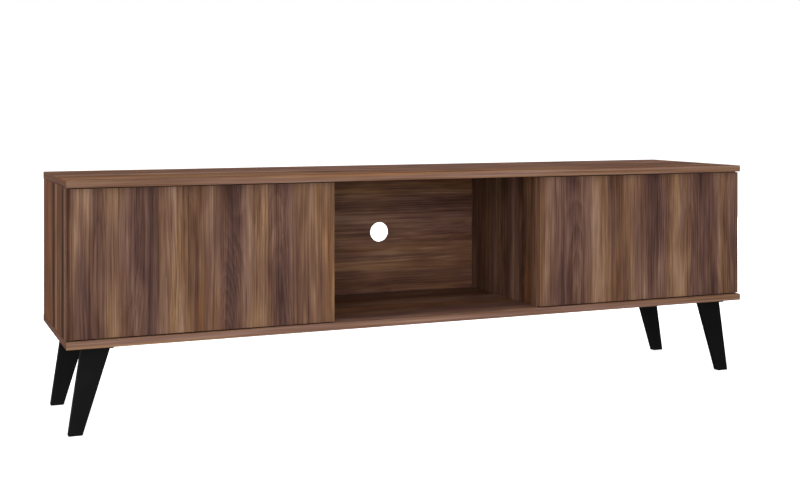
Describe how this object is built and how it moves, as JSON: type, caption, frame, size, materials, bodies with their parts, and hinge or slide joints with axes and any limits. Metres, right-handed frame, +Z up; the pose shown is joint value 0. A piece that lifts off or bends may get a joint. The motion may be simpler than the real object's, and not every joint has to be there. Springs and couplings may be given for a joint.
{
  "type": "tv stand with doors",
  "caption": "Low television stand on splayed tapered legs, with an open middle bay between hinged doors without handles and a cable hole in its back.",
  "frame": {"origin": "on the floor, under the middle of the stand's box", "axes": "+Z up, +X along the length to the right seen from the front, the front with the doors faces -Y"},
  "size_m": [1.6, 0.364, 0.505],
  "materials": {
    "walnut_horizontal": "walnut-pattern melamine, grain along the board's length, satin",
    "walnut_vertical": "walnut-pattern melamine, upright grain, satin",
    "walnut_back": "thin back board with walnut-pattern foil, satin",
    "leg_black": "black satin lacquer",
    "plate_black": "moulded black plastic",
    "zinc_steel": "bright zinc plate",
    "nickel_steel": "nickel plate",
    "die_cast_zinc": "die-cast zinc",
    "beech": "turned beech",
    "nylon_brown": "moulded brown nylon",
    "latch_grey": "moulded grey plastic",
    "magnet": "nickel-plated magnet"
  },
  "bodies": {
    "carcass": {"top_panel": "walnut_horizontal", "bottom_panel": "walnut_horizontal", "left_side_panel": "walnut_vertical", "right_side_panel": "walnut_vertical", "left_divider": "walnut_vertical", "right_divider": "walnut_vertical", "left_back_panel": "walnut_back", "centre_back_panel": "walnut_back", "right_back_panel": "walnut_back", "back_panel_nails": "zinc_steel", "dowels": "beech", "cam_nuts": "die_cast_zinc", "cam_bolts": "nickel_steel", "base_screws": "zinc_steel", "panel_pivot_bushes": "nylon_brown", "pivot_washers": "nylon_brown", "leg_plate_screws": "zinc_steel", "leg_screws": "zinc_steel", "front_left_leg": "leg_black", "front_left_leg_plate": "plate_black", "front_right_leg": "leg_black", "front_right_leg_plate": "plate_black", "back_left_leg": "leg_black", "back_left_leg_plate": "plate_black", "back_right_leg": "leg_black", "back_right_leg_plate": "plate_black", "left_pivot_pins": "nickel_steel", "left_latch_body": "latch_grey", "left_latch_spring": "nickel_steel", "left_latch_screws": "zinc_steel", "right_pivot_pins": "nickel_steel", "right_latch_body": "latch_grey", "right_latch_spring": "nickel_steel", "right_latch_screws": "zinc_steel"},
    "left_door_leaf": {"left_door": "walnut_vertical", "left_door_bushes": "nylon_brown", "left_strike_plate": "zinc_steel", "left_strike_screws": "zinc_steel"},
    "left_plunger": {"left_latch_plunger": "nylon_brown", "left_latch_magnet": "magnet"},
    "right_door_leaf": {"right_door": "walnut_vertical", "right_door_bushes": "nylon_brown", "right_strike_plate": "zinc_steel", "right_strike_screws": "zinc_steel"},
    "right_plunger": {"right_latch_plunger": "nylon_brown", "right_latch_magnet": "magnet"}
  },
  "joints": [
    {"name": "left_door_hinge", "type": "hinge", "parent": "carcass", "child": "left_door_leaf", "pos_m": [-0.791, -0.1665, 0.341], "axis": [0, 0, -1], "range_deg": [0, 110]},
    {"name": "left_latch_slide", "type": "slide", "parent": "carcass", "child": "left_plunger", "axis": [0, -1, 0], "range_m": [0, 0.012], "deforming": ["left_latch_spring"]},
    {"name": "right_door_hinge", "type": "hinge", "parent": "carcass", "child": "right_door_leaf", "pos_m": [0.791, -0.1665, 0.341], "axis": [0, 0, 1], "range_deg": [0, 110]},
    {"name": "right_latch_slide", "type": "slide", "parent": "carcass", "child": "right_plunger", "axis": [0, -1, 0], "range_m": [0, 0.012], "deforming": ["right_latch_spring"]}
  ],
  "couplings": [
    {"joint": "left_latch_slide", "follows": "left_door_hinge", "m_per_rad": 0.00625},
    {"joint": "right_latch_slide", "follows": "right_door_hinge", "m_per_rad": 0.00625}
  ]
}
